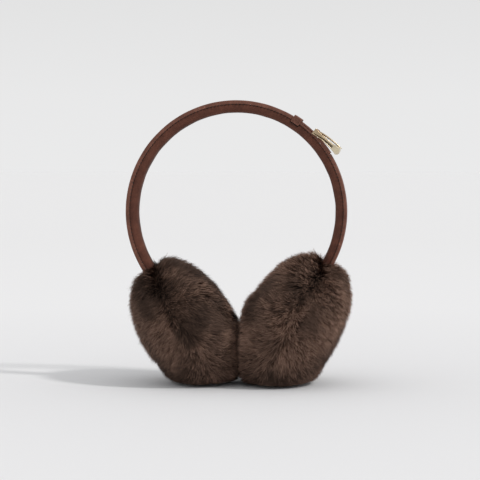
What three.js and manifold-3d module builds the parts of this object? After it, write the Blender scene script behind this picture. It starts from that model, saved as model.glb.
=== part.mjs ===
// Fur earmuffs: a padded leather headband with a buckled strap, standing on two fur muffs.
//
// Millimetres. X runs from the left muff to the right one, Y from front to back and Z up. The
// origin is on the surface that the muffs stand on, below the middle of the headband.

import * as THREE from 'three';
import { mergeVertices } from 'three/addons/utils/BufferGeometryUtils.js';
import Module from 'manifold-3d';

const wasm = await Module();
wasm.setup();

// ---------------------------------------------------------------- driving dimensions

const GAP = 0.3; // left between neighbouring pieces

// The headband is an arc in the XZ plane. Angles are counted from +X towards +Z.
const BAND = {
  x: -1,
  z: 130,
  outer_radius: 84,
  thickness: 9.2,
  left_end_deg: 219,
  right_end_deg: -33,
  step_deg: 5,
};

// The strap is sewn along the pad's outer face, and is a little wider than the pad.
const STRAP = {
  thickness: 2.9,
  width: 13.8,
  corner: 0.35,
  skived: 1.5, // thickness left where a tab lies on the strap
  lap_deg: 32, // where the long strap ends under the buckle
  lap_length_deg: 7, // how far the short strap runs on under the long one
  lap_layer: 1.1, // thickness of the lower layer of that lap
  right_thickness: 2.3,
};

const PAD = {
  width: 13.2,
  outer_corner: 0.9,
  inner_corner: 4.4,
};

const KEEPER = {
  deg: 56.3,
  length: 6.6,
  wall: 1.2,
  corner: 0.8,
};

// The buckle's own frame starts at the lower corner of its hinged end: along runs to the
// free end, out runs away from the head.
const BUCKLE = {
  x: 56,
  z: 188.8,
  slope_deg: 41.5,
  length: 23.4,
  hinged_height: 5.2,
  waist_height: 4.4,
  free_height: 5.5,
  bow: 1.4, // rise of the lower edge above the chord, to follow the headband
  clear_width: 14.6,
  cheek: 2.2,
  bar_along: 1.9,
  bar_out: 3.4,
  bar_radius: 1.05,
  end_bar: 4.8, // length of the thick free end along the buckle
  groove_depth: 0.7,
  lip: 0.8, // rim left below the groove in each cheek
};

const LOOP = {
  width: 12.8,
  thickness: 1.1,
  tail_start_deg: 57.3,
  eye_radius: 2.1,
  slot: 3.4, // cut out of the eye for the prong
};

const PRONG = {
  width: 2.4,
  eye_radius: 1.85,
  shank_radius: 0.85,
  notch_depth: 0.3,
};

// Each muff is a round cushion standing on its rim. axis_deg is the direction that its ear
// face looks in. ear and cover are its thickness on either side of its middle, and along and
// across are its half widths, up its tilted face and from front to back.
const MUFFS = [
  { side: 'left', x: -37.5, z: 44.5, axis_deg: 33, ear: 34.5, cover: 38, along: 58, across: 54 },
  { side: 'right', x: 41, z: 45, axis_deg: 149.5, ear: 38, cover: 38, along: 61, across: 54 },
];

const CONTACT_X = 4.2; // the muffs press against each other in this plane
const SEAM = -1.6; // seam of cover and ear pad, from the muff's middle along its axis
const SEAM_CREASE = { depth: 2.4, width: 5 };
const AROUND = 44; // facets round a muff
const RINGS = 8; // rings from the seam to the middle of a face

const COLOURS = {
  suede: { color: 0x57352b, roughness: 0.85, metalness: 0 },
  strap: { color: 0x6a4133, roughness: 0.7, metalness: 0 },
  gold: { color: 0xcbb98a, roughness: 0.22, metalness: 1 },
  fur: { color: 0x3f312b, roughness: 1, metalness: 0 },
  fur_light: { color: 0x4a3a33, roughness: 1, metalness: 0 },
};

// ---------------------------------------------------------------- helpers

const radians = THREE.MathUtils.degToRad;
const BAND_MIDDLE = new THREE.Vector3(BAND.x, 0, BAND.z);
const STRAP_OUTER = BAND.outer_radius;
const STRAP_INNER = STRAP_OUTER - STRAP.thickness;
const SKIVED_OUTER = STRAP_INNER + STRAP.skived;
const PAD_OUTER = STRAP_INNER - GAP;
const PAD_INNER = STRAP_OUTER - BAND.thickness;

// Point of the headband's plane at an angle and a radius from its middle, at depth y.
function bandPoint(deg, radius, y) {
  const angle = radians(deg);
  return [BAND.x + radius * Math.cos(angle), y, BAND.z + radius * Math.sin(angle)];
}

// Boolean work: a three.js geometry to a solid and back.
function toSolid(geometry, matrix = new THREE.Matrix4()) {
  const bare = geometry.index ? geometry.toNonIndexed() : geometry.clone();
  bare.deleteAttribute('normal');
  bare.deleteAttribute('uv');
  bare.applyMatrix4(matrix);
  const merged = mergeVertices(bare, 1e-4);
  return new wasm.Manifold(new wasm.Mesh({
    numProp: 3,
    vertProperties: new Float32Array(merged.attributes.position.array),
    triVerts: new Uint32Array(merged.index.array),
  }));
}

function toGeometry(solid) {
  const mesh = solid.getMesh();
  const geometry = new THREE.BufferGeometry();
  geometry.setAttribute('position', new THREE.BufferAttribute(mesh.vertProperties, 3));
  geometry.setIndex(new THREE.BufferAttribute(mesh.triVerts, 1));
  geometry.computeVertexNormals();
  return geometry;
}

// Closed solid through a row of rings with the same number of points, each end capped from
// its middle. Rings are lists of [x, y, z], and faces are turned out whichever way they run.
function loftSolid(rings) {
  const count = rings[0].length;
  const middle = (ring) => [0, 1, 2].map((axis) => (
    ring.reduce((sum, point) => sum + point[axis], 0) / count
  ));
  const points = [...rings.flat(), middle(rings[0]), middle(rings.at(-1))];
  const startCap = points.length - 2;
  const endCap = points.length - 1;
  const lastRing = (rings.length - 1) * count;
  const faces = [];
  for (let i = 0; i < count; i += 1) {
    const next = (i + 1) % count;
    for (let row = 0; row < lastRing; row += count) {
      faces.push(row + i, row + next, row + count + next);
      faces.push(row + i, row + count + next, row + count + i);
    }
    faces.push(startCap, next, i);
    faces.push(endCap, lastRing + i, lastRing + next);
  }
  const geometry = new THREE.BufferGeometry();
  geometry.setAttribute('position', new THREE.Float32BufferAttribute(points.flat(), 3));
  geometry.setIndex(signedVolume(points, faces) > 0 ? faces : faces.reverse());
  return toSolid(geometry);
}

function signedVolume(points, faces) {
  let volume = 0;
  for (let i = 0; i < faces.length; i += 3) {
    const [a, b, c] = faces.slice(i, i + 3).map((k) => new THREE.Vector3(...points[k]));
    volume += a.dot(b.cross(c)) / 6;
  }
  return volume;
}

function boxSolid(size, centre) {
  const matrix = new THREE.Matrix4().makeTranslation(...centre);
  return toSolid(new THREE.BoxGeometry(...size), matrix);
}

// A side outline in the XZ plane, pushed across the headband: shape x stays X, shape y
// becomes Z, and the solid is centred on the given y.
function acrossSolid(shape, width, y = 0) {
  const geometry = new THREE.ExtrudeGeometry(shape, {
    depth: width,
    bevelEnabled: false,
    curveSegments: 8,
  });
  const matrix = new THREE.Matrix4().makeRotationX(Math.PI / 2);
  matrix.premultiply(new THREE.Matrix4().makeTranslation(0, y + width / 2, 0));
  return toSolid(geometry, matrix);
}

function circle(x, z, radius) {
  return new THREE.Shape().absarc(x, z, radius, 0, Math.PI * 2, false);
}

function part(name, solid, look) {
  const material = new THREE.MeshStandardMaterial(COLOURS[look]);
  const mesh = new THREE.Mesh(toGeometry(solid), material);
  mesh.name = name;
  return mesh;
}

// ---------------------------------------------------------------- headband

// Outline of the headband's section as [radius, y] points, with its own corner radius on
// the side of the head and on the outer side.
function bandSection(inner, outer, width, innerCorner, outerCorner) {
  const half = width / 2;
  const corners = [
    { radius: outer, y: half, corner: outerCorner, start: 0 },
    { radius: inner, y: half, corner: innerCorner, start: 90 },
    { radius: inner, y: -half, corner: innerCorner, start: 180 },
    { radius: outer, y: -half, corner: outerCorner, start: 270 },
  ];
  const points = [];
  for (const { radius, y, corner, start } of corners) {
    const middleRadius = radius - corner * Math.sign(radius - (inner + outer) / 2);
    const middleY = y - corner * Math.sign(y);
    for (let turn = 0; turn <= 90; turn += 45) {
      const angle = radians(start + turn);
      points.push([
        middleRadius + corner * Math.cos(angle),
        middleY + corner * Math.sin(angle),
      ]);
    }
  }
  return points;
}

// Solid swept along the headband's arc through stations { deg, inner, outer }, with steps
// of at most BAND.step_deg between them.
function bandSolid(stations, { width, innerCorner, outerCorner }) {
  const rings = [];
  const addRing = ({ deg, inner, outer }) => {
    const section = bandSection(inner, outer, width, innerCorner, outerCorner);
    rings.push(section.map(([radius, y]) => bandPoint(deg, radius, y)));
  };
  addRing(stations[0]);
  for (let i = 1; i < stations.length; i += 1) {
    const from = stations[i - 1];
    const to = stations[i];
    const steps = Math.ceil(Math.abs(to.deg - from.deg) / BAND.step_deg);
    for (let step = 1; step <= steps; step += 1) {
      addRing({
        deg: THREE.MathUtils.lerp(from.deg, to.deg, step / steps),
        inner: THREE.MathUtils.lerp(from.inner, to.inner, step / steps),
        outer: THREE.MathUtils.lerp(from.outer, to.outer, step / steps),
      });
    }
  }
  return loftSolid(rings);
}

const strapSection = {
  width: STRAP.width,
  innerCorner: STRAP.corner,
  outerCorner: STRAP.corner,
};

function headbandPad() {
  const stations = [
    { deg: BAND.left_end_deg, inner: PAD_INNER, outer: PAD_OUTER },
    { deg: BAND.right_end_deg, inner: PAD_INNER, outer: PAD_OUTER },
  ];
  const pad = bandSolid(stations, {
    width: PAD.width,
    innerCorner: PAD.inner_corner,
    outerCorner: PAD.outer_corner,
  });
  const recess = keeperOuterSolid(2 * GAP);
  return part('headband_pad', pad.subtract(recess), 'suede');
}

// The long strap is skived thin under the buckle's tab and laps over the short one.
function headbandStrap() {
  const lapInner = STRAP_INNER + STRAP.lap_layer + GAP;
  const lapStart = STRAP.lap_deg + STRAP.lap_length_deg;
  const skiveStart = LOOP.tail_start_deg;
  const skiveEnd = STRAP.lap_deg + 10.5;
  const stations = [
    { deg: BAND.left_end_deg, inner: STRAP_INNER, outer: STRAP_OUTER },
    { deg: skiveStart + 1.6, inner: STRAP_INNER, outer: STRAP_OUTER },
    { deg: skiveStart + 0.4, inner: STRAP_INNER, outer: SKIVED_OUTER },
    { deg: skiveEnd, inner: STRAP_INNER, outer: SKIVED_OUTER },
    { deg: skiveEnd - 1.2, inner: STRAP_INNER, outer: STRAP_OUTER },
    { deg: lapStart + 1.4, inner: STRAP_INNER, outer: STRAP_OUTER },
    { deg: lapStart + 0.4, inner: lapInner, outer: STRAP_OUTER },
    { deg: STRAP.lap_deg, inner: lapInner, outer: STRAP_OUTER },
  ];
  return part('headband_strap', bandSolid(stations, strapSection), 'strap');
}

function headbandStrapRight() {
  const lapOuter = STRAP_INNER + STRAP.lap_layer;
  const outer = STRAP_INNER + STRAP.right_thickness;
  const stations = [
    { deg: STRAP.lap_deg + STRAP.lap_length_deg, inner: STRAP_INNER, outer: lapOuter },
    { deg: STRAP.lap_deg - 0.4, inner: STRAP_INNER, outer: lapOuter },
    { deg: STRAP.lap_deg - 1.2, inner: STRAP_INNER, outer },
    { deg: BAND.right_end_deg, inner: STRAP_INNER, outer },
  ];
  return part('headband_strap_right', bandSolid(stations, strapSection), 'strap');
}

// ---------------------------------------------------------------- keeper

const keeperFrame = new THREE.Matrix4()
  .makeTranslation(BAND_MIDDLE)
  .multiply(new THREE.Matrix4().makeRotationY(radians(90 - KEEPER.deg)));

// Rounded rectangle in the keeper's plane: shape x is Y, shape y is the radius.
function keeperOutline(inner, outer, width, corner) {
  const half = width / 2;
  const outline = new THREE.Shape();
  outline.absarc(half - corner, inner + corner, corner, -Math.PI / 2, 0, false);
  outline.absarc(half - corner, outer - corner, corner, 0, Math.PI / 2, false);
  outline.absarc(corner - half, outer - corner, corner, Math.PI / 2, Math.PI, false);
  outline.absarc(corner - half, inner + corner, corner, Math.PI, Math.PI * 1.5, false);
  return outline;
}

const KEEPER_INSIDE = {
  inner: STRAP_INNER - GAP,
  outer: SKIVED_OUTER + GAP + LOOP.thickness + GAP,
  width: STRAP.width + 2 * GAP,
};

function keeperSolid(outline, length) {
  const geometry = new THREE.ExtrudeGeometry(outline, {
    depth: length,
    bevelEnabled: false,
    curveSegments: 3,
  });
  // Shape x, y and the depth turn into Y, Z and X.
  const turn = new THREE.Matrix4().set(
    0, 0, 1, -length / 2,
    1, 0, 0, 0,
    0, 1, 0, 0,
    0, 0, 0, 1,
  );
  return toSolid(geometry, turn.premultiply(keeperFrame));
}

// The keeper's outside, grown all round by a margin.
function keeperOuterSolid(margin) {
  const outline = keeperOutline(
    KEEPER_INSIDE.inner - KEEPER.wall - margin,
    KEEPER_INSIDE.outer + KEEPER.wall + margin,
    KEEPER_INSIDE.width + 2 * (KEEPER.wall + margin),
    KEEPER.corner,
  );
  return keeperSolid(outline, KEEPER.length + 2 * margin);
}

function strapKeeper() {
  const { inner, outer, width } = KEEPER_INSIDE;
  const hole = keeperSolid(keeperOutline(inner, outer, width, 0.3), KEEPER.length + 2);
  return part('strap_keeper', keeperOuterSolid(0).subtract(hole), 'strap');
}

// ---------------------------------------------------------------- buckle

const buckleFrame = new THREE.Matrix4()
  .makeTranslation(BUCKLE.x, 0, BUCKLE.z)
  .multiply(new THREE.Matrix4().makeRotationY(radians(BUCKLE.slope_deg)));

const BUCKLE_WIDTH = BUCKLE.clear_width + 2 * BUCKLE.cheek;
const BUCKLE_TIP = BUCKLE.length + 1.2;

// Height of the bowed lower edge above its chord.
function buckleBow(along) {
  const share = along / BUCKLE.length;
  return 4 * BUCKLE.bow * share * (1 - share);
}

// Side outline of a cheek: high at the hinge, narrow at the waist and thick at the free end.
function cheekShape() {
  const { length, hinged_height: hinged, waist_height: waist, free_height: free } = BUCKLE;
  const bar = length - BUCKLE.end_bar;
  const shape = new THREE.Shape();
  shape.moveTo(0, 0);
  shape.quadraticCurveTo(length / 2, 2 * BUCKLE.bow, length, 0);
  shape.quadraticCurveTo(BUCKLE_TIP, 0.2, BUCKLE_TIP, free * 0.4);
  shape.quadraticCurveTo(BUCKLE_TIP + 0.2, free * 0.9, length - 1.2, free);
  shape.quadraticCurveTo(bar + 1, free, bar - 1, waist + 0.3);
  shape.quadraticCurveTo(bar - 5, waist - 0.2, length / 3, waist + 0.1);
  shape.lineTo(0, hinged);
  shape.closePath();
  return shape;
}

// Thick rounded bar of the free end, between the cheeks.
function endBarShape() {
  const start = BUCKLE.length - BUCKLE.end_bar + 0.6;
  const radius = 1.6;
  const low = 1.4;
  const high = BUCKLE.free_height - 0.2;
  const end = BUCKLE_TIP - 0.2;
  const shape = new THREE.Shape();
  shape.absarc(end - radius, low + radius, radius, -Math.PI / 2, 0, false);
  shape.absarc(end - radius, high - radius, radius, 0, Math.PI / 2, false);
  shape.absarc(start + radius, high - radius, radius, Math.PI / 2, Math.PI, false);
  shape.absarc(start + radius, low + radius, radius, Math.PI, Math.PI * 1.5, false);
  return shape;
}

// Hollow in a cheek's outer face: a fine line above the lip that widens to the free end.
function grooveShape() {
  const end = BUCKLE.length - BUCKLE.end_bar - 0.4;
  const lipTop = (along) => buckleBow(along) + BUCKLE.lip;
  const shape = new THREE.Shape();
  shape.moveTo(1.2, lipTop(1.2));
  shape.lineTo(end / 2, lipTop(end / 2));
  shape.lineTo(end, lipTop(end));
  shape.lineTo(end + 0.4, BUCKLE.waist_height - 0.6);
  shape.lineTo(end / 2, lipTop(end / 2) + 0.9);
  shape.lineTo(1.2, lipTop(1.2) + 0.4);
  shape.closePath();
  return shape;
}

function barCircle(radius) {
  return circle(BUCKLE.bar_along, BUCKLE.bar_out, radius);
}

function buckleRing() {
  const cheekY = (BUCKLE.clear_width + BUCKLE.cheek) / 2;
  const grooveY = (BUCKLE_WIDTH - BUCKLE.groove_depth) / 2 + 0.1;
  let ring = acrossSolid(endBarShape(), BUCKLE_WIDTH - BUCKLE.cheek);
  ring = ring.add(acrossSolid(barCircle(BUCKLE.bar_radius), BUCKLE_WIDTH - BUCKLE.cheek));
  for (const side of [-1, 1]) {
    ring = ring.add(acrossSolid(cheekShape(), BUCKLE.cheek, side * cheekY));
    const groove = acrossSolid(grooveShape(), BUCKLE.groove_depth + 0.2, side * grooveY);
    ring = ring.subtract(groove);
  }
  return ring.subtract(prongRest());
}

// Notch across the top of the end bar, where the prong lies.
function prongRest() {
  const top = BUCKLE.free_height - 0.2;
  const size = [BUCKLE.end_bar + 4, PRONG.shank_radius * 2 + 1.2, 2 * PRONG.notch_depth];
  return boxSolid(size, [BUCKLE.length - 2, 0, top]);
}

function buckleProng() {
  const restOut = BUCKLE.free_height - 0.2 - PRONG.notch_depth + GAP + PRONG.shank_radius;
  const route = new THREE.QuadraticBezierCurve3(
    new THREE.Vector3(BUCKLE.bar_along + 1.2, 0, BUCKLE.bar_out + 1),
    new THREE.Vector3(BUCKLE.length * 0.45, 0, restOut + 0.4),
    new THREE.Vector3(BUCKLE_TIP - 0.3, 0, restOut),
  );
  const steps = 10;
  const rings = [];
  for (let i = 0; i <= steps; i += 1) {
    const taper = 1 - 0.25 * (i / steps) - (i === steps ? 0.35 : 0);
    rings.push(pinRing(route.getPoint(i / steps), PRONG.shank_radius * taper));
  }
  const hole = acrossSolid(barCircle(BUCKLE.bar_radius + GAP / 2), PRONG.width + 2);
  const eye = acrossSolid(barCircle(PRONG.eye_radius), PRONG.width);
  return loftSolid(rings).add(eye).subtract(hole);
}

// Ring of a pin that runs roughly along X.
function pinRing(centre, radius) {
  const sides = 10;
  const ring = [];
  for (let i = 0; i < sides; i += 1) {
    const angle = (2 * Math.PI * i) / sides;
    ring.push([
      centre.x,
      centre.y + radius * Math.cos(angle),
      centre.z + radius * Math.sin(angle),
    ]);
  }
  return ring;
}

// Leather tab: its tail lies on the skived strap under the keeper, its eye holds the bar.
function buckleLoop() {
  const inner = SKIVED_OUTER + GAP;
  const bar = new THREE.Vector3(BUCKLE.bar_along, 0, BUCKLE.bar_out).applyMatrix4(buckleFrame);
  const barDeg = THREE.MathUtils.radToDeg(Math.atan2(bar.z - BAND.z, bar.x - BAND.x));
  const stations = [
    { deg: LOOP.tail_start_deg - 0.4, inner, outer: inner + LOOP.thickness },
    { deg: barDeg + 0.4, inner, outer: inner + LOOP.thickness },
  ];
  const tail = bandSolid(stations, { width: LOOP.width, innerCorner: 0.2, outerCorner: 0.2 });
  const eye = acrossSolid(circle(bar.x, bar.z, LOOP.eye_radius), LOOP.width);
  const hole = acrossSolid(circle(bar.x, bar.z, BUCKLE.bar_radius + GAP), LOOP.width + 2);
  const slotLength = 2 * LOOP.eye_radius + 1;
  const slot = boxSolid([slotLength, LOOP.slot, slotLength], [bar.x, 0, bar.z]);
  return part('buckle_loop', tail.add(eye).subtract(hole).subtract(slot), 'strap');
}

// ---------------------------------------------------------------- muffs

// Point of a muff's surface. rise is the angle from its rim towards a face's middle (-90 to
// 90 degrees, positive to the ear side), and turn goes once round the rim.
function muffPoint(muff, rise, turn) {
  const axis = radians(muff.axis_deg);
  const through = (rise > 0 ? muff.ear : muff.cover) * Math.sin(rise);
  const crease = SEAM_CREASE.depth * Math.exp(-(((through - SEAM) / SEAM_CREASE.width) ** 2));
  const reach = Math.cos(rise) * (1 - crease / muff.along);
  const along = reach * muff.along * Math.cos(turn);
  const across = reach * muff.across * Math.sin(turn);
  return [
    muff.x + through * Math.cos(axis) - along * Math.sin(axis),
    across,
    muff.z + through * Math.sin(axis) + along * Math.cos(axis),
  ];
}

// Half a muff, from the seam to the middle of one face. toFace is 1 for the ear side and
// -1 for the outer side.
function muffHalf(muff, toFace) {
  const seamRise = Math.asin((SEAM + (toFace * GAP) / 2) / muff.cover);
  const faceRise = toFace * radians(86);
  const rings = [];
  for (let row = 0; row <= RINGS; row += 1) {
    const share = (row / RINGS) ** 1.15;
    const rise = THREE.MathUtils.lerp(seamRise, faceRise, share);
    const ring = [];
    for (let i = 0; i < AROUND; i += 1) {
      ring.push(muffPoint(muff, rise, (2 * Math.PI * i) / AROUND));
    }
    rings.push(ring);
  }
  return loftSolid(rings);
}

// What each muff gives way to: the floor, the other muff and the headband's end.
function muffCuts(muff) {
  const big = 400;
  const away = muff.side === 'left' ? 1 : -1;
  const contact = CONTACT_X - (away * GAP) / 2 + (away * big) / 2;
  const floor = boxSolid([big, big, big], [0, 0, -big / 2]);
  const neighbour = boxSolid([big, big, big], [contact, 0, big / 2]);
  const end = muff.side === 'left' ? BAND.left_end_deg : BAND.right_end_deg;
  const socket = bandSolid([
    { deg: end + away, inner: PAD_INNER - GAP, outer: STRAP_OUTER + GAP },
    { deg: end - away * 30, inner: PAD_INNER - GAP, outer: STRAP_OUTER + GAP },
  ], { width: STRAP.width + 2 * GAP, innerCorner: 0.4, outerCorner: 0.4 });
  return floor.add(neighbour).add(socket);
}

function muffParts(muff) {
  const cuts = muffCuts(muff);
  const cover = muffHalf(muff, -1).subtract(cuts);
  const earPad = muffHalf(muff, 1).subtract(cuts);
  return [
    part(`muff_${muff.side}_cover`, cover, 'fur'),
    part(`muff_${muff.side}_ear_pad`, earPad, 'fur_light'),
  ];
}

// ---------------------------------------------------------------- assembly

const buckle = new THREE.Group();
buckle.add(part('buckle_frame', buckleRing(), 'gold'));
buckle.add(part('buckle_prong', buckleProng(), 'gold'));
buckle.applyMatrix4(buckleFrame);

const earmuffs = new THREE.Group();
earmuffs.add(headbandPad(), headbandStrap(), headbandStrapRight());
earmuffs.add(strapKeeper(), buckleLoop(), buckle);
for (const muff of MUFFS) {
  earmuffs.add(...muffParts(muff));
}

export default earmuffs;
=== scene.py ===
"""Fur earmuffs: fur muffs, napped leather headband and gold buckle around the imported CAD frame.

Metres, in the frame's own axes: X from the left muff to the right one, Y from front to back, Z up.
"""

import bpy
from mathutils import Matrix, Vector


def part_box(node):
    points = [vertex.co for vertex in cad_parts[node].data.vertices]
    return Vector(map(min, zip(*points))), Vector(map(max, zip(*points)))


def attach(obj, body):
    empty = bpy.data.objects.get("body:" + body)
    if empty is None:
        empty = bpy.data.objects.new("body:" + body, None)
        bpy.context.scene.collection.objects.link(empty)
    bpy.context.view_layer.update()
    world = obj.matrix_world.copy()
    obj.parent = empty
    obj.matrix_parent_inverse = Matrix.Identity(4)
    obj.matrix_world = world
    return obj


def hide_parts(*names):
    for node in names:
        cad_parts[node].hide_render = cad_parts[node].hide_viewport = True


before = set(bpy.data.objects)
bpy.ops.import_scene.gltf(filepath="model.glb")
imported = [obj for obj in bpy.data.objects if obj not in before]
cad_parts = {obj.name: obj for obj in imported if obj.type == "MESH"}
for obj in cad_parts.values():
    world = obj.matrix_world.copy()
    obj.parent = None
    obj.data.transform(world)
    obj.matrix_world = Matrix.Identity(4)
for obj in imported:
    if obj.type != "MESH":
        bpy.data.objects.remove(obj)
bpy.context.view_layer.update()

import math

import bmesh
import bpy
import numpy as np
from mathutils import Vector, kdtree, noise
from mathutils.bvhtree import BVHTree

MM = 0.001

# ---------------------------------------------------------------- sizes

# The headband is an arc in the XZ plane; its middle and radii come from the pad's box.
# Angles are counted from +X towards +Z.
PAD_LOW, PAD_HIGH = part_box("headband_pad")
STRAP_LOW, STRAP_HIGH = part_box("headband_strap")
PAD_OUTER = (PAD_HIGH.x - PAD_LOW.x) / 2
BAND_X = (PAD_HIGH.x + PAD_LOW.x) / 2
BAND_Z = PAD_HIGH.z - PAD_OUTER
STRAP_OUTER = STRAP_HIGH.z - BAND_Z
STRAP_INNER = PAD_OUTER + 0.3 * MM
PAD_INNER = PAD_OUTER - 6.0 * MM
PAD_WIDTH = PAD_HIGH.y - PAD_LOW.y
STRAP_WIDTH = STRAP_HIGH.y - STRAP_LOW.y
LEFT_END, RIGHT_END = 219.0, -33.0
KEEPER_DEG, KEEPER_HALF_DEG = 56.3, 2.35  # the pad is recessed under the keeper
KEEPER_RECESS = 1.35 * MM
SKIVED_OUTER = STRAP_INNER + 1.5 * MM
LAP_DEG, LAP_LENGTH_DEG = 32.0, 7.0
LAP_LAYER = 1.1 * MM
SHORT_STRAP = 2.3 * MM
LAP_GAP = 0.05 * MM
SKIVE_START, SKIVE_END = 57.3, LAP_DEG + 10.5  # the strap is thinner here, under the tab
PAD_INNER_CORNER, PAD_OUTER_CORNER = 4.4 * MM, 1.0 * MM
STRAP_INNER_CORNER, STRAP_OUTER_CORNER = 0.35 * MM, 0.45 * MM
STITCH_PITCH = 2.7 * MM
SEAM_FILL = 0.35 * MM  # the pad swells up against the strap

# The buckle starts at the lower corner of its hinged end and slopes down along the headband.
BUCKLE = {
    "x": 56.0 * MM, "z": 188.8 * MM, "slope_deg": 41.5,
    "length": 23.4 * MM, "bow": 1.4 * MM, "lip": 0.75 * MM,
}

# Each muff's ear face looks along its axis, axis_deg from +X towards +Z. The rest is its look:
# light shifts the tone of its hair, as painted shade that darkens the left muff more than the right,
# fluff says how much of it is ruffled, parting how upright hairs stand at the seam, turn how far
# from the seam they still lie along it, and low how much painted shade darkens the underside.
MUFFS = {
    "left": {
        "axis_deg": 33.0, "seed": 11, "light": -0.25, "fluff": -0.02,
        "parting": 0.30, "turn": 5.0 * MM, "low": 0.15,
    },
    "right": {
        "axis_deg": 149.5, "seed": 23, "light": -0.05, "fluff": 0.28,
        "parting": 0.12, "turn": 12.0 * MM, "low": 0.60,
    },
}
CONTACT_X = 4.2 * MM  # the muffs press against each other in this plane
PILE = 7.2 * MM  # depth of the fur over the hide
FLAT_PILE = 3.0 * MM  # where it is pressed flat
CLOTH_VOXEL, CLOTH_PRESSURE, CLOTH_FRAMES = 4.5 * MM, 4.0, 20
PUFF_CAP = 1.5 * MM  # how far the simulated stuffing may push the hide out
STRANDS = 38500  # ribbons on each half of a muff, five triangles each
TUFTS = 8200  # small groups of hairs on each half of a muff
LOCKS = 420  # larger ones
STRAND_LENGTH = 10.6 * MM
STRAND_WIDTH = 0.27 * MM
BRIDGE, BRIDGE_RISE = 8.0 * MM, 0.5 * MM  # the hide fills the seam's crease this far out
CREASE = 9.0 * MM  # and is smoothed this far out
PARTING = 6.5 * MM  # hairs stand up within about this distance of the parting
PARTING_WANDER = 4.5 * MM
BAND_REACH = 19.0 * MM  # hairs lie down over the seam this near to the headband
# Painted light: hairs this near the headband are painted lighter, against the shade where it enters the
# muff.
BAND_PAINTED_LIGHT_REACH = 23.0 * MM  # and are lighter this near to it
# Painted shade: hairs are painted darker towards the floor, up to about this height.
PAINTED_SHADE_HEIGHT = 23.0 * MM  # height of the darker underside


# ---------------------------------------------------------------- helpers

def link(obj):
    bpy.context.scene.collection.objects.link(obj)
    return obj


def new_object(name, verts, faces, smooth=True):
    """Mesh object from lists of points and faces."""
    mesh = bpy.data.meshes.new(name)
    mesh.from_pydata([tuple(v) for v in verts], [], faces)
    mesh.validate()
    if smooth:
        mesh.shade_smooth()
    return link(bpy.data.objects.new(name, mesh))


def outward(obj):
    bm = bmesh.new()
    bm.from_mesh(obj.data)
    bmesh.ops.recalc_face_normals(bm, faces=bm.faces)
    bm.to_mesh(obj.data)
    bm.free()
    return obj


def apply_modifiers(obj):
    """The object's mesh becomes what its modifiers make of it."""
    evaluated = obj.evaluated_get(bpy.context.evaluated_depsgraph_get())
    mesh = bpy.data.meshes.new_from_object(evaluated)
    obj.modifiers.clear()
    obj.data = mesh
    return obj


def add_piece(obj, material, slot, *nodes):
    """Finishes a piece: its material and the CAD nodes that it stands for; slot is not used."""
    obj.data.materials.clear()
    obj.data.materials.append(material)
    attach(obj, "root")
    if nodes:
        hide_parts(*nodes)
    return obj


class Nodes:
    """Short way to write a node tree."""

    def __init__(self, tree):
        self.tree = tree
        self.tree.nodes.clear()

    def add(self, kind, inputs=None, **settings):
        node = self.tree.nodes.new(kind)
        for key, value in settings.items():
            setattr(node, key, value)
        for key, value in (inputs or {}).items():
            socket = node.inputs[key]
            if isinstance(value, bpy.types.NodeSocket):
                self.tree.links.new(value, socket)
            else:
                socket.default_value = value
        return node

    def ramp(self, factor, stops):
        node = self.add("ShaderNodeValToRGB", {"Fac": factor})
        elements = node.color_ramp.elements
        while len(elements) < len(stops):
            elements.new(0.5)
        for element, (position, colour) in zip(elements, stops):
            element.position = position
            element.color = (*colour, 1.0)
        return node.outputs["Color"]

    def mix(self, factor, a, b, blend="MIX"):
        node = self.add("ShaderNodeMix", data_type="RGBA", blend_type=blend)
        for index, value in ((0, factor), (6, a), (7, b)):
            socket = node.inputs[index]
            if isinstance(value, bpy.types.NodeSocket):
                self.tree.links.new(value, socket)
            else:
                socket.default_value = value if index == 0 else (*value, 1.0)
        return node.outputs[2]

    def math(self, operation, a, b=0.0, clamp=False):
        node = self.add("ShaderNodeMath", {0: a, 1: b}, operation=operation, use_clamp=clamp)
        return node.outputs[0]

    def product(self, *factors):
        result = factors[0]
        for factor in factors[1:]:
            result = self.math("MULTIPLY", result, factor)
        return result

    def vector(self, operation, a, b, output):
        node = self.add("ShaderNodeVectorMath", {0: a, 1: b}, operation=operation)
        return node.outputs[output]

    def span(self, value, low, high, to_low, to_high):
        node = self.add("ShaderNodeMapRange", {
            "Value": value, "From Min": low, "From Max": high, "To Min": to_low, "To Max": to_high,
        })
        return node.outputs["Result"]

    def noise(self, vector, scale, detail=3.0, roughness=0.55, stretch=None):
        if stretch:
            mapping = self.add("ShaderNodeMapping", {"Vector": vector, "Scale": stretch})
            vector = mapping.outputs["Vector"]
        node = self.add("ShaderNodeTexNoise", {
            "Vector": vector, "Scale": scale, "Detail": detail, "Roughness": roughness,
        })
        return node.outputs["Fac"]

    def bump(self, height, strength, distance, normal=None):
        inputs = {"Height": height, "Strength": strength, "Distance": distance}
        if normal:
            inputs["Normal"] = normal
        return self.add("ShaderNodeBump", inputs).outputs["Normal"]

    def finish(self, **sockets):
        """Principled shader and output; sockets are named with _ for a space."""
        inputs = {key.replace("_", " "): value for key, value in sockets.items()}
        shader = self.add("ShaderNodeBsdfPrincipled", inputs)
        self.add("ShaderNodeOutputMaterial", {"Surface": shader.outputs[0]})


def new_material(name):
    material = bpy.data.materials.new(name)
    material.use_nodes = True
    return material, Nodes(material.node_tree)


def grey(value):
    return (value, value, value)


# ---------------------------------------------------------------- camera, lights and floor

AIM = Vector((1.5 * MM, 0, 108.6 * MM))
KEY = {"energy": 1.25, "spread": 7.0, "elevation": 43.0, "turn": -24.0}
FLOOR_RADIUS, FLOOR_SIDES = 40.0, 96
CAMERA = {"azimuth": 6.0, "elevation": 2.5, "distance": 1.3, "lens": 128.8}


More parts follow.
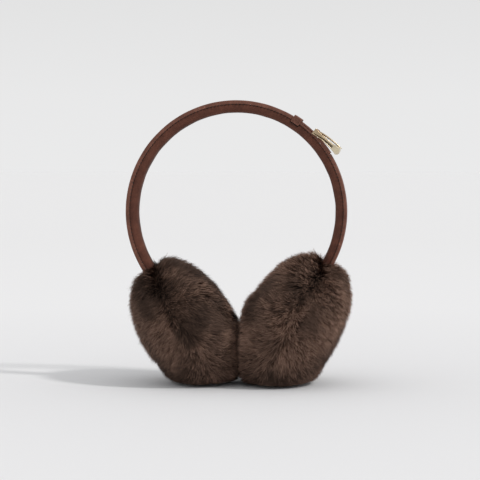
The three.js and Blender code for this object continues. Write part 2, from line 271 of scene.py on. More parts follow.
def make_camera():
    azimuth = math.radians(CAMERA["azimuth"])
    elevation = math.radians(CAMERA["elevation"])
    back = Vector((
        math.sin(azimuth) * math.cos(elevation),
        -math.cos(azimuth) * math.cos(elevation),
        math.sin(elevation),
    ))
    data = bpy.data.cameras.new("camera")
    data.lens = CAMERA["lens"]
    data.sensor_width = 36.0
    camera = link(bpy.data.objects.new("camera", data))
    camera.location = AIM + back * CAMERA["distance"]
    camera.rotation_mode = "QUATERNION"
    camera.rotation_quaternion = (-back).to_track_quat("-Z", "Y")
    bpy.context.scene.camera = camera


def make_lights():
    """A soft key from the right front, and a bright pale room all round."""
    key = bpy.data.lights.new("key", "SUN")
    key.energy = KEY["energy"]
    key.angle = math.radians(KEY["spread"])
    key.color = (1.0, 0.985, 0.965)
    lamp = link(bpy.data.objects.new("key", key))
    height, turn = math.radians(KEY["elevation"]), math.radians(KEY["turn"])
    towards_light = Vector((
        math.cos(height) * math.cos(turn),
        math.cos(height) * math.sin(turn),
        math.sin(height),
    ))
    lamp.rotation_mode = "QUATERNION"
    lamp.rotation_quaternion = towards_light.to_track_quat("Z", "Y")

    world = bpy.data.worlds.new("room")
    bpy.context.scene.world = world
    world.use_nodes = True
    nodes = Nodes(world.node_tree)
    direction = nodes.add("ShaderNodeTexCoord").outputs["Generated"]
    height = nodes.add("ShaderNodeSeparateXYZ", {"Vector": direction}).outputs["Z"]
    colour = nodes.ramp(height, [
        (0.0, (0.822, 0.823, 0.826)),
        (0.04, (0.812, 0.812, 0.815)),
        (0.10, (0.765, 0.765, 0.766)),
        (0.45, (0.735, 0.737, 0.740)),
        (1.0, (0.735, 0.737, 0.740)),
    ])
    background = nodes.add("ShaderNodeBackground", {"Color": colour, "Strength": 1.0})
    nodes.add("ShaderNodeOutputWorld", {"Surface": background.outputs[0]})


def make_floor():
    """Pale floor with painted shade: its colour is a little darker round the object."""
    angles = [2 * math.pi * k / FLOOR_SIDES for k in range(FLOOR_SIDES)]
    ring = [(FLOOR_RADIUS * math.cos(angle), FLOOR_RADIUS * math.sin(angle), 0) for angle in angles]
    floor = new_object("floor", ring, [tuple(range(FLOOR_SIDES))], smooth=False)
    material, nodes = new_material("floor_paper")
    place = nodes.add("ShaderNodeTexCoord").outputs["Object"]
    grain = nodes.noise(place, 900.0)
    away = nodes.add("ShaderNodeVectorMath", {0: place}, operation="LENGTH").outputs["Value"]
    # Painted shade: the floor's colour is darker near the object and lightest about 0.7 m out.
    painted_floor_shade = nodes.ramp(nodes.span(away, 0.0, 4.0, 0.0, 1.0), [
        (0.0, (0.800, 0.800, 0.812)),
        (0.05, (0.806, 0.806, 0.817)),
        (0.18, (0.840, 0.840, 0.848)),
        (0.60, (0.822, 0.822, 0.828)),
    ])
    speck = nodes.ramp(grain, [(0.3, grey(0.985)), (0.7, grey(1.0))])
    colour = nodes.mix(1.0, painted_floor_shade, speck, "MULTIPLY")
    nodes.finish(
        Base_Color=colour,
        Roughness=nodes.span(grain, 0.3, 0.7, 0.84, 0.92),
        Specular_IOR_Level=0.15,
        Normal=nodes.bump(grain, 0.04, 0.0002),
    )
    floor.data.materials.append(material)


# ---------------------------------------------------------------- materials

def leather(name, dark, light, nap=1.0):
    """Napped leather: cloudy colour, short fibres and fine pores."""
    material, nodes = new_material(name)
    place = nodes.add("ShaderNodeTexCoord").outputs["Object"]
    cloud = nodes.noise(place, 95.0, 4.0, 0.6)
    fibre = nodes.noise(place, 1500.0, 3.0, 0.7)
    strand = nodes.noise(place, 620.0, 2.0, 0.6, (1.0, 2.6, 1.0))
    pores = nodes.add("ShaderNodeTexVoronoi", {"Vector": place, "Scale": 1150.0}).outputs["Distance"]
    middle = tuple((a + b) / 2 for a, b in zip(dark, light))
    base = nodes.ramp(cloud, [(0.30, dark), (0.52, middle), (0.74, light)])
    speck = nodes.span(fibre, 0.3, 0.7, 0.0, 1.0)
    fine = nodes.ramp(speck, [(0.1, grey(0.30)), (0.9, grey(1.15))])
    coarse = nodes.ramp(strand, [(0.35, grey(0.55)), (0.68, grey(1.12))])
    base = nodes.mix(0.60, base, fine, "MULTIPLY")
    base = nodes.mix(0.55, base, coarse, "MULTIPLY")
    # Convex edges are painted lighter: partly scuffed by use, partly a painted sheen where light
    # catches the suede's rims.
    edge_pointiness = nodes.add("ShaderNodeNewGeometry").outputs["Pointiness"]
    edge_wear_and_sheen = nodes.span(edge_pointiness, 0.50, 0.56, 0.0, 0.5)
    base = nodes.mix(edge_wear_and_sheen, base, tuple(min(1.0, value * 1.7) for value in light))
    height = nodes.math("ADD", nodes.math("MULTIPLY", fibre, 0.7), nodes.math("MULTIPLY", strand, 0.6))
    normal = nodes.bump(height, 0.55 * nap, 0.25 * MM)
    normal = nodes.bump(pores, 0.25, 0.10 * MM, normal)
    nodes.finish(
        Base_Color=base,
        Roughness=nodes.span(cloud, 0.3, 0.7, 0.68, 0.86),
        Specular_IOR_Level=0.18,
        Sheen_Weight=0.05,
        Sheen_Roughness=0.5,
        Normal=normal,
    )
    return material


def thread():
    material, nodes = new_material("stitch_thread")
    place = nodes.add("ShaderNodeTexCoord").outputs["Object"]
    twist = nodes.noise(place, 2600.0, 2.0)
    nodes.finish(
        Base_Color=nodes.ramp(twist, [(0.35, (0.010, 0.006, 0.005)), (0.65, (0.035, 0.019, 0.014))]),
        Roughness=nodes.span(twist, 0.3, 0.7, 0.5, 0.7),
        Normal=nodes.bump(twist, 0.4, 0.08 * MM),
    )
    return material


def painted_groove_shadow(nodes, place, half_width):
    """1 along the painted shadow line above the lip of each cheek; it widens to the free end."""
    slope = math.radians(BUCKLE["slope_deg"])
    along_way = (math.cos(slope), 0.0, -math.sin(slope))
    out_way = (math.sin(slope), 0.0, math.cos(slope))
    start = nodes.vector("SUBTRACT", place, (BUCKLE["x"], 0.0, BUCKLE["z"]), "Vector")
    along = nodes.vector("DOT_PRODUCT", start, along_way, "Value")
    out = nodes.vector("DOT_PRODUCT", start, out_way, "Value")
    share = nodes.math("DIVIDE", along, BUCKLE["length"])
    bow = nodes.product(share, nodes.math("SUBTRACT", 1.0, share), 4 * BUCKLE["bow"])
    above_lip = nodes.math("SUBTRACT", nodes.math("SUBTRACT", out, bow), BUCKLE["lip"])
    width = nodes.span(share, 0.2, 0.75, 0.35 * MM, 1.5 * MM)
    across_it = nodes.math("DIVIDE", above_lip, width)
    above = nodes.math("GREATER_THAN", across_it, 0.0)
    below = nodes.math("LESS_THAN", across_it, 1.0)
    past_start = nodes.math("GREATER_THAN", share, 0.04)
    before_end = nodes.math("LESS_THAN", share, 0.78)
    depth = nodes.add("ShaderNodeSeparateXYZ", {"Vector": place}).outputs["Y"]
    outer_face = nodes.math("GREATER_THAN", nodes.math("ABSOLUTE", depth), half_width - 1.0 * MM)
    return nodes.product(above, below, past_start, before_end, outer_face, 0.85)


def gold():
    """Pale gold: hairline scratches, duller patches, painted shade in its hollows and above each lip,
    and a free end painted paler as a painted reflection.
    """
    material, nodes = new_material("pale_gold")
    place = nodes.add("ShaderNodeTexCoord").outputs["Object"]
    low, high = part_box("buckle_frame")
    lowered = nodes.add("ShaderNodeSeparateXYZ", {"Vector": place}).outputs["Z"]
    # Painted reflection: the lower free end is painted paler than the cheeks, for the bright and dark
    # surroundings they reflect.
    painted_reflection_mask = nodes.span(lowered, high.z - 6 * MM, low.z + 4 * MM, 0.0, 1.0)
    cloud = nodes.noise(place, 160.0, 3.0)
    scratch = nodes.noise(place, 900.0, 2.0, 0.6, (1.0, 9.0, 0.6))
    cheek = nodes.ramp(cloud, [(0.3, (0.40, 0.30, 0.19)), (0.7, (0.48, 0.38, 0.25))])
    colour = nodes.mix(painted_reflection_mask, cheek, (0.66, 0.58, 0.42))
    groove_shadow = painted_groove_shadow(nodes, place, high.y)
    # Painted shade: hollows found by ambient occlusion, and the line above each lip, are painted dark.
    occlusion = nodes.add("ShaderNodeAmbientOcclusion", {"Distance": 1.6 * MM}, samples=8).outputs["AO"]
    painted_shade = nodes.math("MAXIMUM", nodes.span(occlusion, 0.35, 0.80, 0.85, 0.0), groove_shadow)
    colour = nodes.mix(painted_shade, colour, (0.060, 0.040, 0.022))
    dull = nodes.span(cloud, 0.3, 0.7, 0.28, 0.36)
    rough = nodes.math("ADD", dull, nodes.span(scratch, 0.5, 0.75, 0.0, 0.10))
    nodes.finish(
        Base_Color=colour,
        Metallic=1.0,
        Roughness=rough,
        Normal=nodes.bump(scratch, 0.02, 0.02 * MM),
    )
    return material


def hide_leather():
    """The fur's dark ground between the hairs."""
    material, nodes = new_material("fur_ground")
    place = nodes.add("ShaderNodeTexCoord").outputs["Object"]
    tufts = nodes.noise(place, 420.0, 4.0, 0.65)
    nodes.finish(
        Base_Color=nodes.ramp(tufts, [(0.3, (0.012, 0.008, 0.006)), (0.7, (0.050, 0.032, 0.025))]),
        Roughness=nodes.span(tufts, 0.3, 0.7, 0.8, 0.95),
        Specular_IOR_Level=0.2,
        Normal=nodes.bump(tufts, 0.9, 1.2 * MM),
    )
    return material


def fur_fibre(name, root, middle, tip):
    """Hair colour by two UV values: U is the hair's tone, painted shade and light included, and V runs
    from root to tip.
    """
    material, nodes = new_material(name)
    uv = nodes.add("ShaderNodeUVMap", uv_map="OFBake").outputs["UV"]
    split = nodes.add("ShaderNodeSeparateXYZ", {"Vector": uv})
    tone, along = split.outputs["X"], split.outputs["Y"]
    shaft = nodes.ramp(along, [(0.0, root), (0.55, middle), (1.0, tip)])
    shade = nodes.ramp(tone, [(0.0, grey(0.20)), (0.45, grey(0.53)), (1.0, grey(1.12))])
    flecks = nodes.noise(uv, 60.0, 2.0)
    nodes.finish(
        Base_Color=nodes.mix(1.0, shaft, shade, "MULTIPLY"),
        Roughness=nodes.span(tone, 0.0, 1.0, 0.66, 0.52),
        Specular_IOR_Level=0.13,
        Normal=nodes.bump(flecks, 0.08, 0.05 * MM),
    )
    return material


# ---------------------------------------------------------------- headband

def band_point(deg, radius, y):
    angle = math.radians(deg)
    return (BAND_X + radius * math.cos(angle), y, BAND_Z + radius * math.sin(angle))


def band_section(inner, outer, width, inner_corner, outer_corner, turns=6):
    """Outline of the headband's section as (radius, y) points, with rounded corners."""
    points = []
    corners = (
        (outer, width / 2, outer_corner, 0),
        (inner, width / 2, inner_corner, 90),
        (inner, -width / 2, inner_corner, 180),
        (outer, -width / 2, outer_corner, 270),
    )
    middle = (inner + outer) / 2
    for radius, y, corner, start in corners:
        centre_radius = radius - math.copysign(corner, radius - middle)
        centre_y = y - math.copysign(corner, y)
        for turn in range(turns + 1):
            angle = math.radians(start + 90 * turn / turns)
            radius = centre_radius + corner * math.cos(angle)
            points.append((radius, centre_y + corner * math.sin(angle)))
    return points


def sweep(name, sections):
    """Closed mesh through (deg, outline) pairs along the headband, rounded off at its ends."""
    count = len(sections[0][1])
    verts = [band_point(deg, radius, y) for deg, outline in sections for radius, y in outline]
    faces = []
    for row in range(len(sections) - 1):
        for i in range(count):
            j = (i + 1) % count
            here, beyond = row * count, (row + 1) * count
            faces.append((here + i, here + j, beyond + j, beyond + i))
    last = (len(sections) - 1) * count
    faces.append(tuple(range(count)))
    faces.append(tuple(last + i for i in reversed(range(count))))
    return outward(new_object(name, verts, faces))


def along_stations(stations, step=0.8):
    """(deg, inner, outer) at even steps between stations of the same form."""
    found = [stations[0]]
    for start, end in zip(stations, stations[1:]):
        steps = max(1, math.ceil(abs(end[0] - start[0]) / step))
        for k in range(1, steps + 1):
            share = k / steps
            found.append(tuple(a + (b - a) * share for a, b in zip(start, end)))
    return found


def wobble(deg, seed, size):
    """Hand-made unevenness along the headband."""
    return size * noise.noise(Vector((deg * 0.13, seed, 0.0)))


def make_pad(material):
    """Soft rounded pad, pinched a little at each stitch and recessed under the keeper."""
    ends = [(LEFT_END, PAD_INNER, PAD_OUTER), (RIGHT_END, PAD_INNER, PAD_OUTER)]
    sections = []
    for deg, inner, outer in along_stations(ends, 0.45):
        near = 1 - min(1.0, max(0.0, (abs(deg - KEEPER_DEG) - KEEPER_HALF_DEG) / 0.25))
        stitch = 2 * math.pi * math.radians(deg) * PAD_OUTER / STITCH_PITCH
        pinch = 0.12 * MM * (0.5 + 0.5 * math.cos(stitch))
        soft = inner + wobble(deg, 1.0, 0.25 * MM)
        top = outer + (1 - near) * SEAM_FILL - near * KEEPER_RECESS
        width = PAD_WIDTH + wobble(deg, 5.0, 0.3 * MM)
        outline = []
        for radius, y in band_section(soft, top, width, PAD_INNER_CORNER, PAD_OUTER_CORNER):
            side = max(0.0, (radius - (outer - 1.6 * MM)) / (1.6 * MM))
            outline.append((radius, y - math.copysign(pinch * side, y)))
        sections.append((deg, outline))
    pad = sweep("pad", sections)
    return add_piece(pad, material, "headband_leather", "headband_pad")


def strap_sections(stations, seed):
    """Slightly uneven sections of a strap through (angle, inner radius, outer radius) stations."""
    sections = []
    for deg, inner, outer in along_stations(stations, 0.6):
        width = STRAP_WIDTH + wobble(deg, seed, 0.16 * MM)
        top = outer + wobble(deg, seed + 3.0, 0.08 * MM)
        outline = band_section(inner, top, width, STRAP_INNER_CORNER, STRAP_OUTER_CORNER, 4)
        sections.append((deg, outline))
    return sections


def make_straps(material):
    """The long strap ends on top of the short one, in a lap under the buckle."""
    lap_inner = STRAP_INNER + LAP_LAYER + LAP_GAP
    lap_start = LAP_DEG + LAP_LENGTH_DEG
    long_strap = sweep("strap_long", strap_sections([
        (LEFT_END, STRAP_INNER, STRAP_OUTER),
        (SKIVE_START + 1.6, STRAP_INNER, STRAP_OUTER),
        (SKIVE_START + 0.4, STRAP_INNER, SKIVED_OUTER),
        (SKIVE_END, STRAP_INNER, SKIVED_OUTER),
        (SKIVE_END - 1.2, STRAP_INNER, STRAP_OUTER),
        (lap_start + 0.7, STRAP_INNER, STRAP_OUTER),
        (lap_start + 0.1, lap_inner, STRAP_OUTER),
        (LAP_DEG, lap_inner, STRAP_OUTER),
    ], 2.0))
    add_piece(long_strap, material, "strap_leather", "headband_strap")
    outer = STRAP_INNER + SHORT_STRAP
    short_strap = sweep("strap_short", strap_sections([
        (lap_start, STRAP_INNER, STRAP_INNER + LAP_LAYER),
        (LAP_DEG - 0.1, STRAP_INNER, STRAP_INNER + LAP_LAYER),
        (LAP_DEG - 0.5, STRAP_INNER, outer),
        (RIGHT_END, STRAP_INNER, outer),
    ], 7.0))
    add_piece(short_strap, material, "strap_leather", "headband_strap_right")


def make_stitches(material):
    """Whip stitches that sew the strap's edges to the pad, on the front and on the back."""
    turns, sides = 6, 5
    thick, tall, proud = 0.26 * MM, 1.5 * MM, 0.28 * MM
    verts, faces = [], []
    pitch_deg = math.degrees(STITCH_PITCH / PAD_OUTER)
    count = int((LEFT_END - RIGHT_END - 4) / pitch_deg)
    for face in (-1, 1):
        for k in range(count):
            deg = RIGHT_END + 2 + k * pitch_deg
            if abs(deg - KEEPER_DEG) < KEEPER_HALF_DEG + 0.6:
                continue
            base = len(verts)
            slant = math.degrees(0.35 * MM / PAD_OUTER) * face
            for row in range(turns + 1):
                share = row / turns * 2 - 1
                arch = math.sqrt(max(0.0, 1 - share * share))
                size = thick * (0.35 + 0.65 * arch)
                for side in range(sides):
                    angle = 2 * math.pi * side / sides
                    radius = (STRAP_INNER - 0.1 * MM) + share * tall / 2
                    y = face * (STRAP_WIDTH / 2 - 0.35 * MM + proud * arch + size * math.cos(angle))
                    turn_deg = deg + slant * share + math.degrees(size * math.sin(angle) / PAD_OUTER)
                    verts.append(band_point(turn_deg, radius, y))
            for row in range(turns):
                for side in range(sides):
                    nxt = (side + 1) % sides
                    a = base + row * sides
                    faces.append((a + side, a + nxt, a + sides + nxt, a + sides + side))
            faces.append(tuple(base + side for side in range(sides)))
            faces.append(tuple(base + turns * sides + side for side in reversed(range(sides))))
    return add_piece(outward(new_object("stitches", verts, faces)), material, "strap_leather")


def softened(node, name, voxel, passes):
    """A fine smooth copy of a CAD node, with its edges rounded off."""
    copy = link(bpy.data.objects.new(name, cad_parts[node].data.copy()))
    remesh = copy.modifiers.new("remesh", "REMESH")
    remesh.mode = "VOXEL"
    remesh.voxel_size = voxel
    smooth = copy.modifiers.new("smooth", "SMOOTH")
    smooth.factor = 0.5
    smooth.iterations = passes
    apply_modifiers(copy)
    copy.data.shade_smooth()
    return copy


# ---------------------------------------------------------------- muffs

def to_world_array(mesh):
    co = np.empty(len(mesh.vertices) * 3)
    mesh.vertices.foreach_get("co", co)
    return co.reshape(-1, 3)


class Muff:
    """One muff's outer form, read from its two CAD nodes."""

    def __init__(self, side):
        look = MUFFS[side]
        self.side = side
        self.look = look
        self.cover = f"muff_{side}_cover"
        self.ear = f"muff_{side}_ear_pad"
        angle = math.radians(look["axis_deg"])
        self.axis = np.array([math.cos(angle), 0.0, math.sin(angle)])
        boxes = [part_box(self.cover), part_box(self.ear)]
        low = np.min([box[0] for box in boxes], axis=0)
        high = np.max([box[1] for box in boxes], axis=0)
        self.middle = (low + high) / 2
        verts, polygons = [], []
        for node in (self.cover, self.ear):
            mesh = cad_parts[node].data
            start = len(verts)
            verts += [v.co.copy() for v in mesh.vertices]
            polygons += [[start + i for i in p.vertices] for p in mesh.polygons]
        self.tree = BVHTree.FromPolygons(verts, polygons)
        cover_along = (to_world_array(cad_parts[self.cover].data) - self.middle) @ self.axis
        ear_along = (to_world_array(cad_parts[self.ear].data) - self.middle) @ self.axis
        self.seam = (cover_along.max() + ear_along.min()) / 2

    def surface(self, direction):
        """Where a ray that comes in from outside meets the muff."""
        start = Vector(self.middle) + Vector(direction) * 0.3
        hit = self.tree.ray_cast(start, -Vector(direction))
        return np.array(hit[0])

    def filled(self, direction):
        """The same, with the seam's crease bridged over by the fur."""
        here = self.surface(direction)
        if abs((here - self.middle) @ self.axis - self.seam) > BRIDGE:
            return here
        tilt = Vector(self.axis) * (BRIDGE / np.linalg.norm(here - self.middle))
        sides = [self.surface((direction + sign * tilt).normalized()) for sign in (-1, 1)]
        reach = np.mean([np.linalg.norm(side - self.middle) for side in sides]) + BRIDGE_RISE
        return self.middle + np.array(direction) * max(reach, np.linalg.norm(here - self.middle))

    def pile(self, points):
        """Depth of the fur under points of the outer form: less where it is pressed."""
        floor = np.clip(points[:, 2] / (9 * MM), 0, 1)
        touch = np.clip(np.abs(points[:, 0] - CONTACT_X) / (7 * MM), 0, 1)
        free = np.minimum(floor, touch)
        return FLAT_PILE + (PILE - FLAT_PILE) * free * free * (3 - 2 * free)


def make_hide(muff, material):
    """The cushion under the fur: a closed skin inside the muff's outer form."""
    bm = bmesh.new()
    bmesh.ops.create_icosphere(bm, subdivisions=6, radius=1.0)
    outer = np.array([muff.filled(v.co.normalized()) for v in bm.verts])
    inward = muff.middle - outer
    inward /= np.linalg.norm(inward, axis=1)[:, None]
    hide = outer + inward * muff.pile(outer)[:, None]
    for vert, place in zip(bm.verts, hide):
        vert.co = place
    to_seam = (outer - muff.middle) @ muff.axis - muff.seam
    near_seam = [vert for vert, away in zip(bm.verts, to_seam) if abs(away) < CREASE]
    for verts, passes in ((near_seam, 25), (bm.verts, 6)):
        for _ in range(passes):
            bmesh.ops.smooth_vert(
                bm, verts=verts, factor=0.5, use_axis_x=True, use_axis_y=True, use_axis_z=True,
            )
    bmesh.ops.recalc_face_normals(bm, faces=bm.faces)
    mesh = bpy.data.meshes.new(f"muff_{muff.side}_cushion")
    bm.to_mesh(mesh)
    bm.free()
    cushion = link(bpy.data.objects.new(f"muff_{muff.side}_cushion", mesh))
    puff(cushion)
    cushion.data.shade_smooth()
    add_piece(cushion, material, "fur", muff.cover, muff.ear)
    return cushion


def puff(cushion):
    """Cloth simulation: the stuffing swells the hide, by no more than PUFF_CAP."""
    remesh = cushion.modifiers.new("remesh", "REMESH")
    remesh.mode = "VOXEL"
    remesh.voxel_size = CLOTH_VOXEL
    apply_modifiers(cushion)
    start = to_world_array(cushion.data)
    cloth = cushion.modifiers.new("cloth", "CLOTH")
    cloth.settings.quality = 6
    cloth.settings.use_pressure = True
    cloth.settings.uniform_pressure_force = CLOTH_PRESSURE
    cloth.settings.effector_weights.gravity = 0.0
    scene = bpy.context.scene
    for number in range(1, CLOTH_FRAMES + 1):
        scene.frame_set(number)
    apply_modifiers(cushion)
    scene.frame_set(1)
    moved = to_world_array(cushion.data) - start
    distance = np.linalg.norm(moved, axis=1)
    moved *= (np.minimum(distance, PUFF_CAP) / np.maximum(distance, 1e-9))[:, None]
    settled = start + moved
    settled[:, 2] = np.maximum(settled[:, 2], FLAT_PILE * 0.6)
    cushion.data.vertices.foreach_set("co", settled.ravel())
    subdivision = cushion.modifiers.new("subdivision", "SUBSURF")
    subdivision.levels = subdivision.render_levels = 1
    apply_modifiers(cushion)


def random_roots(cushion, muff, half, count, rng):
    """Evenly scattered points of one half of the hide, with their normals."""
    mesh = cushion.data
    mesh.calc_loop_triangles()
    triangles = np.array([t.vertices for t in mesh.loop_triangles])
    co = to_world_array(mesh)
    normals = np.empty(len(mesh.vertices) * 3)
    mesh.vertices.foreach_get("normal", normals)
    normals = normals.reshape(-1, 3)
    a, b, c = (co[triangles[:, k]] for k in range(3))
    along = (((a + b + c) / 3) - muff.middle) @ muff.axis - muff.seam
    keep = along > 0 if half == "ear" else along <= 0
    triangles, a, b, c = triangles[keep], a[keep], b[keep], c[keep]
    area = np.linalg.norm(np.cross(b - a, c - a), axis=1) / 2
    # The roots are denser at the seam, where the hair spreads.
    area *= 1 + 1.1 * np.exp(-(along[keep] / PARTING) ** 2)
    chosen = rng.choice(len(area), size=count, p=area / area.sum())
    u, v = rng.random(count), rng.random(count)
    flip = u + v > 1
    u[flip], v[flip] = 1 - u[flip], 1 - v[flip]
    w = 1 - u - v
    weights = np.stack([w, u, v], axis=1)
    points = np.einsum("nk,nkd->nd", weights, co[triangles[chosen]])
    facing = np.einsum("nk,nkd->nd", weights, normals[triangles[chosen]])
    return points, unit(facing)


def unit(vectors):
    return vectors / np.maximum(np.linalg.norm(vectors, axis=1), 1e-12)[:, None]


def across(vectors, normals):
    """Part of vectors that lies in the surface."""
    return vectors - normals * np.sum(vectors * normals, axis=1)[:, None]


def smooth_noise(points, scale, seed):
    shift = Vector((seed * 7.3, seed * 3.1, seed * 1.7))
    return np.array([noise.noise(Vector(p) * scale + shift) for p in points])


def nearest(points, centres):
    tree = kdtree.KDTree(len(centres))
    for index, centre in enumerate(centres):
        tree.insert(centre, index)
    tree.balance()
    return np.array([tree.find(p)[1] for p in points])


def turned(vectors, normals, angles):
    """Vectors turned about normals by angles."""
    cos, sin = np.cos(angles)[:, None], np.sin(angles)[:, None]
    return vectors * cos + np.cross(normals, vectors) * sin


def from_parting(muff, points):
    """Signed distance from the parting, which wanders a little about the seam."""
    along = (points - muff.middle) @ muff.axis - muff.seam
    return along + smooth_noise(points, 55.0, muff.look["seed"] + 40) * PARTING_WANDER


def near_band(points, reach):
    """1 where the headband runs, fading to 0 over about reach."""
    radius = np.hypot(points[:, 0] - BAND_X, points[:, 2] - BAND_Z)
    distance = np.hypot(radius - (PAD_INNER + STRAP_OUTER) / 2, points[:, 1])
    return np.exp(-(distance / reach) ** 2)


def fur_flow(muff, points, normals, seed):
    """Lie of the hair: away from the parting, a little downwards, and wandering in patches."""
    turn = muff.look["turn"] + 16 * MM * near_band(points, BAND_REACH)
    away = np.tanh(from_parting(muff, points) / turn)
    flow = away[:, None] * muff.axis + np.array([0.0, 0.0, -0.55])
    flow = across(flow, normals)
    sway = smooth_noise(points, 34.0, seed) * 1.3 + smooth_noise(points, 95.0, seed + 2) * 0.8
    return unit(turned(unit(flow), normals, sway))


def fluffiness(muff, points, half, seed):
    """From 0, combed smooth, to 1, ruffled into small light tufts, in patches."""
    patches = smooth_noise(points, 36.0, seed + 20) * 2.2 + smooth_noise(points, 110.0, seed + 21) * 0.6
    lower = (muff.middle[2] - points[:, 2]) / (70 * MM)
    smooth_side = 0.25 if half == "ear" and muff.side == "left" else 0.0
    return (0.5 + patches + lower * 0.5 + muff.look["fluff"] - smooth_side).clip(0, 1)


def strand_paths(muff, cushion, half, rng):
    """Points (strand, 4, 3), surface normals and tones of one half's hairs."""
    look = muff.look
    seed = look["seed"] + (3 if half == "ear" else 0)
    roots, normals = random_roots(cushion, muff, half, STRANDS, rng)
    tufts = roots[:TUFTS]
    locks = roots[TUFTS:TUFTS + LOCKS]
    of_tuft = nearest(roots, tufts)
    of_lock = nearest(roots, locks)
    fluff = fluffiness(muff, tufts, half, seed)
    flow = fur_flow(muff, tufts, normals[:TUFTS], seed)
    flow = turned(flow, normals[:TUFTS], rng.normal(0, 1, TUFTS) * (0.10 + 0.45 * fluff))
    flow = unit(across(flow[of_tuft], normals))
    flow = turned(flow, normals, rng.normal(0, 1, len(roots)) * (0.22 + 0.35 * fluff[of_tuft]))

    parted = np.exp(-(from_parting(muff, roots) / PARTING) ** 2) * look["parting"]
    parted *= 1 - near_band(roots, BAND_REACH)
    flow = turned(flow, normals, rng.normal(0, 0.8, len(roots)) * parted)
    pressed = np.clip(muff.pile(roots + normals * PILE) / PILE, 0, 1)
    length = STRAND_LENGTH * (0.60 + 0.40 * pressed) * rng.normal(1.0, 0.10, len(roots)).clip(0.7, 1.3)
    length *= 1 - 0.16 * parted
    guard = rng.random(len(roots)) < 0.05
    length = np.where(guard, length * 1.10, length)
    tuft_lean = -0.34 * fluff + 0.16 * smooth_noise(tufts, 120.0, seed + 5) + rng.normal(0, 0.09, TUFTS)
    lean = np.radians(68) + tuft_lean[of_tuft] + rng.normal(0, 0.16, len(roots)) + (1 - pressed) * 0.35
    lean *= 1 - 0.66 * parted
    start_lean = (np.radians(28) + (1 - pressed) * 0.6) * (1 - 0.8 * parted)

    paths = np.empty((len(roots), 4, 3))
    paths[:, 0] = roots - normals * 0.4 * MM
    for step in range(3):
        share = (step + 0.5) / 3
        angle = np.minimum(start_lean + (lean - start_lean) * share ** 0.8 * 1.15, np.radians(88))
        heading = normals * np.cos(angle)[:, None] + flow * np.sin(angle)[:, None]
        paths[:, step + 1] = paths[:, step] + heading * (length / 3)[:, None]

    # Hairs of one tuft lean together towards their tips, and tufts of one lock a little too.
    tuft_pull = (0.12 + 0.58 * fluff) * (0.75 + 0.5 * rng.random(TUFTS))
    lock_pull = 0.02 + 0.08 * rng.random(LOCKS)
    for group, centres, pull in ((of_tuft, tufts, tuft_pull), (of_lock, locks, lock_pull)):
        members = np.bincount(group, minlength=len(centres)).clip(1)
        for step in (1, 2, 3):
            sums = np.stack([
                np.bincount(group, weights=paths[:, step, k], minlength=len(centres)) for k in range(3)
            ], axis=1)
            mean = (sums / members[:, None])[group]
            amount = (pull[group] * (step / 3) ** 1.5)[:, None]
            paths[:, step] += (mean - paths[:, step]) * amount

    # A hair's tone comes from its tuft, from its own chance and from where it grows, with painted shade
    # and light added below.
    # Painted shade: the muff's light value makes the left muff's hair darker than the right's.
    tone = 0.24 + look["light"] + 0.50 * fluff + 0.10 * rng.normal(0, 1, TUFTS)
    tone += 0.30 * smooth_noise(tufts, 55.0, seed + 9) + 0.30 * smooth_noise(tufts, 24.0, seed + 11)
    spread = (0.10 + 0.22 * fluff)[of_tuft]
    # The last term is painted light: hairs at the parting are painted lighter, against the shade among
    # its upright hairs.
    tone = tone[of_tuft] + spread * rng.normal(0, 1, len(roots)) + 0.26 * parted
    # Painted shade: the underside's hairs are painted darker, by the muff's low value.
    tone -= look["low"] * np.exp(-(roots[:, 2] / PAINTED_SHADE_HEIGHT) ** 2)
    # The first term is painted light: hairs near the headband are painted lighter, against the shade
    # where it enters the muff.
    tone += 0.50 * near_band(roots, BAND_PAINTED_LIGHT_REACH) + 0.25 * guard * fluff[of_tuft]
    return press(paths, rng), normals, tone.clip(0.02, 0.98), guard


def press(paths, rng):
    """Hairs bend flat on the floor, and none runs through it."""
    soft = 5.0 * MM
    height = paths[:, :, 2]
    bent = soft * np.exp(np.minimum(height - soft, 0) / soft) * 0.95
    bent += rng.random(height.shape) * 0.3 * MM - 0.05 * soft
    paths[:, :, 2] = np.where(height < soft, bent, height)
    return paths


def comb_round_band(paths, rng):
    """Lays hairs against the headband's faces where it goes into the muff; False for hairs under it."""
    margin = 0.2 * MM + rng.random(paths.shape[:2]) * 0.7 * MM
    x, z = paths[:, :, 0] - BAND_X, paths[:, :, 2] - BAND_Z
    radius = np.hypot(x, z)
    side = np.abs(paths[:, :, 1])
    half = STRAP_WIDTH / 2
    inside = (radius > PAD_INNER - margin) & (radius < STRAP_OUTER + margin) & (side < half + margin)
    beside = side[:, :1] > half
    sideways = inside & beside
    paths[:, :, 1] = np.where(sideways, np.sign(paths[:, :1, 1]) * (half + margin), paths[:, :, 1])
    middle = (PAD_INNER + STRAP_OUTER) / 2
    outer_face = np.where(radius[:, :1] > middle, STRAP_OUTER + margin, PAD_INNER - margin)
    scale = np.where(inside & ~beside, outer_face / radius, 1.0)
    paths[:, :, 0] = BAND_X + x * scale
    paths[:, :, 2] = BAND_Z + z * scale
    return ~inside[:, 0]


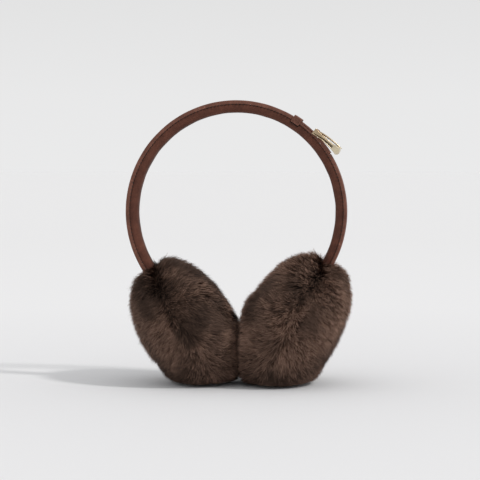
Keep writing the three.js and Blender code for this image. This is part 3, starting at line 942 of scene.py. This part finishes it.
def fur_mesh(name, paths, normals, tone, guard, rng):
    """Ribbons of two quads and a tip along each path, turned about it at random."""
    count = len(paths)
    side_of = np.cross(paths[:, 3] - paths[:, 0], normals)
    side_of = unit(side_of)
    twist = rng.normal(0, 0.75, count)
    shaft = unit(paths[:, 2] - paths[:, 1])
    side = turned(side_of, shaft, twist)
    width = STRAND_WIDTH * rng.normal(1.0, 0.18, count).clip(0.5, 1.5)
    width = np.where(guard, width * 0.7, width)

    verts = np.empty((count, 7, 3))
    for step, share in enumerate((0.85, 1.0, 0.72)):
        offset = side * (width * share / 2)[:, None]
        verts[:, 2 * step] = paths[:, step] - offset
        verts[:, 2 * step + 1] = paths[:, step] + offset
    verts[:, 6] = paths[:, 3]
    verts[:, :, 2] = np.maximum(verts[:, :, 2], 0.1 * MM)

    face = np.cross(verts[:, 1] - verts[:, 0], verts[:, 2] - verts[:, 0])
    flip = np.sum(face * normals, axis=1) < 0
    swapped = verts.copy()
    for step in range(3):
        swapped[:, 2 * step] = verts[:, 2 * step + 1]
        swapped[:, 2 * step + 1] = verts[:, 2 * step]
    verts = np.where(flip[:, None, None], swapped, verts)

    quads = np.array([[0, 1, 3, 2], [2, 3, 5, 4]])
    corners = np.concatenate([quads.ravel(), [4, 5, 6]])
    starts = np.array([0, 4, 8])
    first = np.arange(count)
    loops = (first[:, None] * 7 + corners[None, :]).ravel()
    loop_starts = (first[:, None] * 11 + starts[None, :]).ravel()

    mesh = bpy.data.meshes.new(name)
    mesh.vertices.add(count * 7)
    mesh.vertices.foreach_set("co", verts.ravel())
    mesh.loops.add(count * 11)
    mesh.loops.foreach_set("vertex_index", loops.astype(np.int32))
    mesh.polygons.add(count * 3)
    mesh.polygons.foreach_set("loop_start", loop_starts.astype(np.int32))
    mesh.update(calc_edges=True)

    layer = mesh.uv_layers.new(name="OFBake")
    v_of = np.array([0.02, 0.02, 0.36, 0.36, 0.70, 0.70, 0.99])
    u_shift = np.array([-1, 1, -1, 1, -1, 1, 0]) * 0.006
    u_all = (tone[:, None] + u_shift[None, :])[:, corners]
    v_all = np.broadcast_to(v_of[corners], u_all.shape)
    layer.data.foreach_set("uv", np.stack([u_all, v_all], axis=2).ravel())

    mesh.shade_smooth()
    face = unit(np.cross(verts[:, 3] - verts[:, 2], verts[:, 4] - verts[:, 2]))
    blended = unit(face * 0.42 + normals * 0.58)
    mesh.normals_split_custom_set_from_vertices(np.repeat(blended, 7, axis=0))
    return link(bpy.data.objects.new(name, mesh))


def make_muff(side, ground, fibre):
    muff = Muff(side)
    cushion = make_hide(muff, ground)
    for half, node in (("cover", muff.cover), ("ear", muff.ear)):
        rng = np.random.default_rng(muff.look["seed"] * 10 + (1 if half == "ear" else 0))
        paths, normals, tone, guard = strand_paths(muff, cushion, half, rng)
        keep = comb_round_band(paths, rng)
        paths, normals, tone, guard = paths[keep], normals[keep], tone[keep], guard[keep]
        fur = fur_mesh(f"muff_{side}_{half}_fur", paths, normals, tone, guard, rng)
        add_piece(fur, fibre, "fur", node)


# ---------------------------------------------------------------- the object

scene = bpy.context.scene
scene.view_settings.view_transform = "Standard"

make_camera()
make_lights()
make_floor()

band_leather = leather("headband_suede", (0.048, 0.015, 0.009), (0.150, 0.056, 0.036))
# The strap's suede is lighter than the pad's: partly its own tone, partly a painted highlight on the
# headband's lit upper face.
strap_leather = leather("strap_suede_painted_highlight", (0.068, 0.023, 0.014), (0.235, 0.104, 0.074), 0.8)
pale_gold = gold()

make_pad(band_leather)
make_straps(strap_leather)
make_stitches(thread())
# CAD node, piece, material, slot, voxel of the remesh in mm and passes of smoothing
for node, piece, finish, slot_name, voxel, passes in (
    ("strap_keeper", "keeper", strap_leather, "strap_leather", 0.30, 3),
    ("buckle_loop", "tab_loop", strap_leather, "strap_leather", 0.25, 3),
    ("buckle_frame", "clasp_frame", pale_gold, "gold_metal", 0.20, 6),
    ("buckle_prong", "clasp_prong", pale_gold, "gold_metal", 0.15, 4),
):
    add_piece(softened(node, piece, voxel * MM, passes), finish, slot_name, node)

fur_ground = hide_leather()
FUR_ROOT, FUR_MIDDLE, FUR_TIP = (0.042, 0.022, 0.016), (0.108, 0.059, 0.039), (0.440, 0.270, 0.200)
dark_fur = fur_fibre("brown_fur", FUR_ROOT, FUR_MIDDLE, FUR_TIP)
for muff_side in MUFFS:
    make_muff(muff_side, fur_ground, dark_fur)
